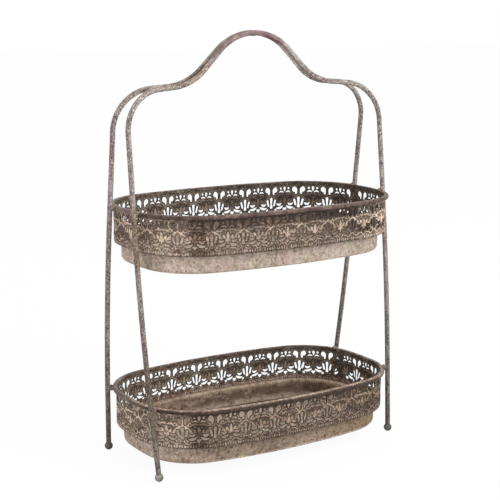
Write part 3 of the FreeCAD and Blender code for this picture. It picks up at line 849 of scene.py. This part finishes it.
def bandFields(run, z, lead):
    # distance to the nearest opening and the embossed height, over a strip laid flat
    emboss = band["emboss"]
    soft = emboss["soft"]
    dist = np.full(run.shape, band["far"])
    ridge = np.zeros(run.shape)
    groove = np.zeros(run.shape)
    motifs = ((0.0, crownOpenings(), crownLines(), []), (0.5, fleurOpenings(), fleurLines(), fleurPetals()))
    for index in range(-1, band["repeats"] // 2 + 1):
        for shift, shapes, lines, leaves in motifs:
            centre = (index + lead + shift) * pitch
            near = np.abs(run[:, 0] - centre) < pitch * band["reach"]
            if not near.any():
                continue
            x, zz = run[near] - centre, z[near]
            for outline in shapes:
                if clearOfSeams(outline, centre):
                    dist[near] = np.minimum(dist[near], distanceTo(outline, x, zz, True) - band["grow"])
            for line, width, tall in lines:
                if clearOfSeams(line, centre):
                    away = distanceTo(line, x, zz, False)
                    ridge[near] = np.maximum(ridge[near], tall * bell(away, 0, width))
                    groove[near] = np.maximum(groove[near], bell(away, *emboss["lineGroove"]))
            for leaf in leaves:
                if clearOfSeams(leaf, centre):
                    away = distanceTo(leaf, x, zz, True)
                    rise = np.clip(emboss["leafEdge"] - emboss["leafSlope"] * away, 0, emboss["leafTop"])
                    ridge[near] = np.maximum(ridge[near], rise)
                    groove[near] = np.maximum(groove[near], bell(away, *emboss["leafGroove"]))
    # sunk edge round every opening, then a raised one, then a groove
    clear = np.clip((dist - emboss["clearFrom"]) / soft, 0, 1)
    lip = emboss["lipHeight"] * bell(dist, *emboss["lip"])
    hollow = np.maximum(groove * clear, emboss["ringShare"] * bell(dist, *emboss["ring"]))
    hollow = np.maximum(hollow, bell(dist, 0, emboss["sunkEdge"], 4))
    # little scrolls over the ground, mirrored in each repeat
    x = np.abs(np.mod(run / pitch - lead, 1.0) - 0.5) * pitch
    wander = meander(x, z, *emboss["scrollAcross"]) + meander(z, x, *emboss["scrollUp"])
    scroll = 2 * bell(wander, 0, emboss["scrollWidth"]) - 1
    ground = emboss["field"] + emboss["scroll"] * scroll * np.clip((dist - emboss["scrollFrom"]) / soft, 0, 1)
    height = np.maximum(ground * (1 - hollow), np.maximum(ridge * clear, lip))
    # row of uneven beads along the foot and a fine line under the rim, both left off at the seams
    strip = bell(z - band["foot"], *emboss["beads"], 4)
    wave = np.cos(2 * emboss["beadCount"] * np.pi * run / pitch)
    beads = np.clip(emboss["beadLift"] + wave, emboss["beadLeast"], 1)
    uneven = emboss["beadUneven"]
    beads = beads * (1 - uneven + uneven * np.sin(emboss["beadPace"] * run))
    topLine = bell(z, *emboss["topLine"]) * emboss["topLineShare"]
    height = height * (1 - emboss["beadCalm"] * strip)
    offSeam = np.minimum(run, stripLength - run) > band["seamPlain"]
    return dist, np.maximum(height, emboss["beadHeight"] * np.maximum(beads * strip, topLine) * offSeam)


def bandRows():
    # wall down to the foot's bend, the bend, and the foot that turns in: outward, height and facing
    low = band["foot"] + band["footRadius"]
    count = int(round((band["top"] - low) / band["rowStep"]))
    rows = [(0.0, z, 1.0, 0.0) for z in np.linspace(band["top"], low, count + 1)]
    for t in np.linspace(0, 90, band["bendSteps"])[1:]:
        c, s = math.cos(math.radians(t)), math.sin(math.radians(t))
        rows.append((band["footRadius"] * (c - 1), low - band["footRadius"] * s, c, -s))
    for o in np.linspace(-band["footRadius"], -band["footReach"], band["footSteps"])[1:]:
        rows.append((o, band["foot"], 0.0, -1.0))
    return np.array(rows)


def underRimToneAndShade(side, top, tier, rowName):
    # share of the dark strip under the rim along the front: the band's dark tone there with painted shade
    # from the rim
    x, drop = side[:, 0], side[:, 2] - top
    low = bandLook["zones"][tier]["underTo"]
    along = 0.3 + 0.7 * fade(x, -200, -165) * fade(x, 205, 150)
    return fade(drop, low - 8, low) * along * (rowName == "front")


def bandZones(side, top, tier, rowName):
    # outside: dark under the rim along the front, partly its own tone and partly painted shade from the rim;
    # a tone of its own to the right, paler on the upper band as painted light; pale round the left end;
    # painted shadow of the front left leg beside it, and painted shade along the foot's bend;
    # inside: darker to the right; each fade runs between two places in mm
    x, drop = side[:, 0], side[:, 2] - top
    look = bandLook["zones"][tier]
    # dark strip under the rim: the band's own dark tone there, partly painted shade from the rim
    tints = toward(np.ones((len(side), 3)) * look["base"], look["under"], underRimToneAndShade(side, top, tier, rowName))
    if rowName == "front":
        # on the upper band the paler right end is painted light; on the lower band it is its own darker tone
        tints = toward(tints, look["right"], fade(x, 90, 170) * 0.9)
    tints = toward(tints, look["left"], fade(x, -150, -190))
    if rowName == "front":
        # painted shadow of the front left leg on the band
        tints = toward(tints, look["beside"], fade(x, -180, -168) * fade(x, -142, -156))
    # painted shade along the foot's bend
    tints = toward(tints, look["edge"], fade(drop, band["foot"] + 2.0, band["foot"] + 0.6))
    inside = np.ones((len(side), 3)) * look["inside"]
    inside = toward(inside, np.array(look["inside"]) * bandLook["insideRight"], fade(x, -90, 60))
    inside = toward(inside, look["insideLow"], fade(drop, -49, -53))
    return np.concatenate([tints, inside])


def bandShades(side, height, top, tier, rowName):
    # relief that the finish rubs: outside calmed under the rim and hazed to both sides, inside softer
    x = side[:, 0]
    calm = 1 - bandLook["underCalm"] * underRimToneAndShade(side, top, tier, rowName)
    hazeLeft, hazeRight = bandLook["zones"][tier]["haze"]
    haze = (hazeLeft * fade(x, -50, -110) + hazeRight * fade(x, 110, 160)) * (rowName == "front")
    outside = (height * (1 - haze) + bandLook["hazeLevel"] * band["emboss"]["field"] * haze) * calm
    least, share = bandLook["insideRelief"]
    return np.concatenate([outside, least + share * height])


def stripGrid(lead, down):
    # flat sheet as a grid of runs and depths; corners close to an opening's edge move onto it,
    # so that the cut leaves no slivers
    step = pitch / band["columns"]
    inner = np.arange((lead * pitch) % step, stripLength, step)
    inner = inner[(inner > band["endGap"] * step) & (inner < stripLength - band["endGap"] * step)]
    runs = np.concatenate([[0.0], inner, [stripLength]])
    run, t = np.meshgrid(runs, down, indexing="ij")
    dist, _ = bandFields(run, band["top"] - t, lead)
    gs = np.gradient(dist, runs, axis=0)
    gt = np.gradient(dist, down, axis=1)
    steep = np.maximum(gs * gs + gt * gt, band["leastSlope"])
    close = np.abs(dist) < band["snap"] * step
    close[[0, -1]] = False
    close[:, [0, -1]] = False
    run = np.where(close, run - dist * gs / steep, run)
    t = np.where(close, t - dist * gt / steep, t)
    return run, t, np.where(close, 0.0, dist)


def pierce(run, t, dist):
    # faces of the sheet outside the openings, with new corners where a side crosses an outline
    rows, cols = dist.shape
    flatRun, flatT, flatDist = run.ravel().tolist(), t.ravel().tolist(), dist.ravel().tolist()
    cutAt = {}
    faces = []

    def crossing(a, b):
        key = (a, b) if a < b else (b, a)
        if key not in cutAt:
            share = flatDist[a] / (flatDist[a] - flatDist[b])
            cutAt[key] = len(flatRun)
            flatRun.append(flatRun[a] + share * (flatRun[b] - flatRun[a]))
            flatT.append(flatT[a] + share * (flatT[b] - flatT[a]))
        return cutAt[key]

    for i in range(rows - 1):
        for j in range(cols - 1):
            ring = (i * cols + j, i * cols + j + 1, (i + 1) * cols + j + 1, (i + 1) * cols + j)
            values = [flatDist[k] for k in ring]
            if min(values) >= 0 and max(values) > 0:
                faces.append(ring)
            elif max(values) > 0:
                face = []
                for k in range(4):
                    a, b = ring[k], ring[(k + 1) % 4]
                    if flatDist[a] >= 0:
                        face.append(a)
                    if flatDist[a] * flatDist[b] < 0:
                        face.append(crossing(a, b))
                if len(face) > 2:
                    faces.append(tuple(face))
    used = sorted({k for face in faces for k in face})
    fresh = {k: n for n, k in enumerate(used)}
    faces = [tuple(fresh[k] for k in face) for face in faces]
    return faces, np.array(flatRun)[used], np.array(flatT)[used]


def openEdges(faces):
    # sides that only one face has, in its direction
    edges = {}
    for face in faces:
        for a, b in zip(face, face[1:] + face[:1]):
            if (b, a) in edges:
                del edges[(b, a)]
            else:
                edges[(a, b)] = True
    return edges


bakeMap = {"margin": 1.0, "shelves": 4}


def layBakeMap(mesh, run, t, tall):
    # four shelves of the flat sheet: two halves of the outside, two of the inside
    layer = mesh.uv_layers.new(name="OFBake")
    loops = np.zeros(len(mesh.loops), int)
    mesh.loops.foreach_get("vertex_index", loops)
    polyCount = np.zeros(len(mesh.polygons), int)
    mesh.polygons.foreach_get("loop_total", polyCount)
    owner = np.repeat(np.arange(len(polyCount)), polyCount)
    half = stripLength / 2
    flatRun = np.concatenate([run, run])[loops]
    flatT = np.concatenate([t, t])[loops]
    inner = (np.bincount(owner, loops >= len(run)) / polyCount) > 0.5
    second = np.bincount(owner, flatRun) / polyCount > half
    shelf = (second.astype(int) + 2 * inner.astype(int))[owner]
    margin = bakeMap["margin"]
    u = (flatRun - np.where(second[owner], half, 0.0) + margin) / (half + 4 * margin)
    v = (shelf + (flatT + margin) / (tall + 2 * margin)) / bakeMap["shelves"]
    layer.data.foreach_set("uv", np.column_stack([u, v]).ravel())


def makeBand(name, tier, rowName, material):
    top = tops[tier]
    lead = band["leads"][tier + "_" + rowName]
    seam = band["seams"][tier] * pitch + (stripLength if rowName == "front" else 0.0)
    rows = bandRows()
    down = np.concatenate([[0], np.cumsum(np.hypot(*np.diff(rows[:, :2], axis=0).T))])
    faces, run, t = pierce(*stripGrid(lead, down))
    height = bandFields(run[:, None], (band["top"] - t)[:, None], lead)[1][:, 0]
    # bent round the oval, outside and inside of the sheet, closed along every open edge
    o, z, no, nz = (np.interp(t, down, rows[:, k]) for k in range(4))
    points, outward = alongOval(seam + run)
    total = len(run)
    sides = []
    for depth in (0.0, band["sheet"]):
        lift = height - depth
        out = o + no * lift
        sides.append(np.column_stack([points + outward * out[:, None], z + nz * lift + top]) * mm)
    back = [tuple(k + total for k in reversed(face)) for face in faces]
    walls = [(b, a, a + total, b + total) for a, b in openEdges(faces)]
    piece = makePiece(name, np.concatenate(sides), faces + back + walls)
    front = sides[0] * 1000.0
    shade = piece.data.attributes.new("relief", "FLOAT", "POINT")
    shade.data.foreach_set("value", bandShades(front, height, top, tier, rowName))
    paintZones(piece, bandZones(front, top, tier, rowName))
    layBakeMap(piece.data, run, t, down[-1])
    place(piece, "gallery_sheet", material, name)
    return piece, len(faces)


bandLook = {"cloudScale": 14.0, "mottleScale": 130.0, "fleckScale": 360.0,
            "tones": fourTones((150, 128, 112), (178, 158, 142), (196, 178, 162), (220, 205, 190)),
            "driftScale": 26.0, "drift": ((1.05, 0.97, 1.0), (1.0, 1.02, 0.9)),
            "relief": {"low": 0.16, "high": 0.33, "recess": rgb(32, 22, 17)},
            "fleckFrom": 0.58, "fleckAmount": 0.5, "fleckTone": rgb(216, 203, 189),
            "pitScale": 130.0, "pitTo": 0.41, "pitAmount": 0.5, "pitTone": rgb(56, 40, 33),
            # dark under the rim partly painted shade, the tint by the front left leg its painted shadow, the
            # foot's edge painted shade, the upper band's pale right end painted light
            "zones": {"upper": {"base": (0.97, 0.9, 0.86), "under": (0.42, 0.34, 0.34), "underTo": -17.0,
                                "right": (1.95, 1.87, 1.75), "left": (1.78, 1.68, 1.62),
                                "beside": (0.5, 0.42, 0.34), "edge": (0.7, 0.66, 0.62),
                                "inside": (0.66, 0.65, 0.64), "insideLow": (0.7, 0.66, 0.66),
                                "haze": (0.6, 0.45)},
                      "lower": {"base": (0.75, 0.67, 0.6), "under": (0.46, 0.38, 0.33), "underTo": -9.0,
                                "right": (0.66, 0.57, 0.47), "left": (1.76, 1.69, 1.63),
                                "beside": (0.42, 0.36, 0.3), "edge": (0.7, 0.63, 0.57),
                                "inside": (0.8, 0.8, 0.79), "insideLow": (1.3, 1.2, 1.2),
                                "haze": (0.3, 0.0)}},
            "underCalm": 0.5, "hazeLevel": 1.1, "insideRelief": (0.12, 0.5), "insideRight": 0.7,
            "rough": (0.55, 0.8), "bump": 0.35}
bandFinish = agedMetal("embossedSheet", bandLook)
for tier in tops:
    for rowName in ("front", "rear"):
        piece, count = makeBand(tier + "_gallery_" + rowName, tier, rowName, bandFinish)
        piece.name = tier + "Band_" + rowName
        print("band pierced:", piece.name, count, "faces")


# lumpy welds between rims and legs, and along the two bars under the handle's top
weld = {"radius": 5.4, "worn": {"upper": 0.98, "lower": 0.9}, "gap": {"upper": 1.0, "lower": 3.6},
        "rings": 22, "sides": 28, "firstSeed": 40,
        "lumpy": 0.5, "lumps": ((0.6, 3.0, 0), (0.3, 1.3, 1)), "sink": 0.3,
        "handleLength": 14.0, "handleRadius": 2.0, "handleDrop": 3.0, "handleTop": 648.0, "handleSeed": 60}
weldLook = dict(rimLook, tint=(0.95, 0.95, 0.95), bump=0.8)


def weldSpot(tier):
    # middle of the gap between the rim and the rear right leg, and the oval's outward direction there
    z = tops[tier] - rim["height"] / 2
    legX, legY, legZ = np.array(bar["corners"][:3]).T
    x, y = np.interp(z, legZ, legX), -np.interp(z, legZ, legY)
    for cx, cy, _, first, last in ovalRows:
        turn = math.atan2(y - cy, x - cx)
        if first <= turn <= last:
            break
    out = (math.cos(turn), math.sin(turn))
    inset = bar["radius"] + weld["gap"][tier] / 2
    return (x - out[0] * inset, y - out[1] * inset, z), out


def makeBead(name, centre, axis, radii, seed, material, node):
    # rounded bead with its long axis given, and a rough skin
    axis = Vector(axis).normalized()
    aside = axis.orthogonal().normalized()
    other = axis.cross(aside)
    verts = [Vector(centre) + axis * radii[0]]
    for i in range(1, weld["rings"]):
        t = math.pi * i / weld["rings"]
        for k in range(weld["sides"]):
            turn = 2 * math.pi * k / weld["sides"]
            p = Vector(centre) + axis * radii[0] * math.cos(t)
            p += (aside * math.cos(turn) + other * math.sin(turn)) * radii[1] * math.sin(t)
            away = (p - Vector(centre)).normalized()
            verts.append(p + away * weld["lumpy"] * (lumpMix(p * mm, seed, weld["lumps"]) - weld["sink"]))
    verts.append(Vector(centre) - axis * radii[0])
    sides = weld["sides"]
    rows = weld["rings"] - 1
    last = 1 + (rows - 1) * sides
    faces = [tuple(k + 1 for k in f) for f in gridFaces(rows, sides, closeCols=True)]
    for k in range(sides):
        faces.append((0, 1 + k, 1 + (k + 1) % sides))
        faces.append((len(verts) - 1, last + (k + 1) % sides, last + k))
    piece = makePiece(name, [v * mm for v in verts], faces)
    paintZones(piece, np.ones((len(verts), 3)) * weldLook["tint"])
    place(piece, "weld", material, node)


weldFinish = agedMetal("roughWeld", weldLook)
for t, tier in enumerate(tops):
    (wx, wy, wz), (ox, oy) = weldSpot(tier)
    ballRadii = (weld["radius"] * weld["worn"][tier],) * 2
    for c, (side, right, row, rear) in enumerate(corners):
        makeBead(tier + "Bead_" + row + "_" + side, (right * wx, rear * wy, wz), (right * ox, rear * oy, 0),
                 ballRadii, weld["firstSeed"] + 4 * t + c, weldFinish, tier + "_weld_" + row + "_" + side)
makeBead("handleBead", (0, 0, weld["handleTop"] - weld["handleDrop"]), (1, 0, 0),
         (weld["handleLength"] / 2 + weld["handleRadius"], weld["handleRadius"]), weld["handleSeed"],
         weldFinish, "handle_weld")
print("welds run")


# white floor that keeps a faint shadow, and a white surround
def seenRays(add, join):
    path = add("LightPath")
    also = add("Math", operation="MAXIMUM")
    join(path.outputs["Is Glossy Ray"], also.inputs[0])
    join(path.outputs["Is Transmission Ray"], also.inputs[1])
    seen = add("Math", operation="MAXIMUM")
    join(path.outputs["Is Camera Ray"], seen.inputs[0])
    join(also, seen.inputs[1])
    return seen


stage = {"size": 14.0, "tone": 0.86, "rough": 0.9, "shadow": 0.08, "white": 1.025}


def makeStage():
    s = stage["size"]
    floor = makePiece("floor", [(-s, -s, 0), (s, -s, 0), (s, s, 0), (-s, s, 0)], [(0, 1, 2, 3)], False)
    material = bpy.data.materials.new("whiteFloor")
    material.use_nodes = True
    tree, add, join = nodeMaker(material)
    shader = tree.nodes["Principled BSDF"]
    shader.inputs["Base Color"].default_value = (*grey(stage["tone"]), 1)
    shader.inputs["Roughness"].default_value = stage["rough"]
    white = add("Emission")
    white.inputs["Strength"].default_value = stage["white"]
    seen = seenRays(add, join)
    part = add("Math", operation="MULTIPLY")
    part.inputs[1].default_value = 1.0 - stage["shadow"]
    join(seen, part.inputs[0])
    mix = add("MixShader")
    join(part, mix.inputs[0])
    join(shader, mix.inputs[1])
    join(white, mix.inputs[2])
    join(mix, tree.nodes["Material Output"].inputs["Surface"])
    floor.data.materials.append(material)


makeStage()


# soft room light and one broad lamp from the upper right front
light = {"room": 0.62, "lampPower": 60.0, "lampSize": 2.2, "lampSpot": (0.8, -2.7, 2.2),
         "lampAim": (0.0, 0.0, 0.3)}


def setLight():
    world = bpy.data.worlds.new("room")
    bpy.context.scene.world = world
    world.use_nodes = True
    tree, add, join = nodeMaker(world)
    room = tree.nodes["Background"]
    room.inputs["Color"].default_value = (1, 1, 1, 1)
    room.inputs["Strength"].default_value = light["room"]
    white = add("Background")
    white.inputs["Color"].default_value = (1, 1, 1, 1)
    white.inputs["Strength"].default_value = 1.0
    mix = add("MixShader")
    join(seenRays(add, join), mix.inputs[0])
    join(room, mix.inputs[1])
    join(white, mix.inputs[2])
    join(mix, tree.nodes["World Output"].inputs["Surface"])
    lampData = bpy.data.lights.new("softLamp", "AREA")
    lampData.energy = light["lampPower"]
    lampData.size = light["lampSize"]
    lamp = bpy.data.objects.new("softLamp", lampData)
    lamp.location = light["lampSpot"]
    aim = Vector(light["lampAim"]) - Vector(light["lampSpot"])
    lamp.rotation_euler = aim.to_track_quat("-Z", "Y").to_euler()
    bpy.context.scene.collection.objects.link(lamp)
    bpy.context.scene.view_settings.view_transform = "Standard"


setLight()
print("stage and light set")
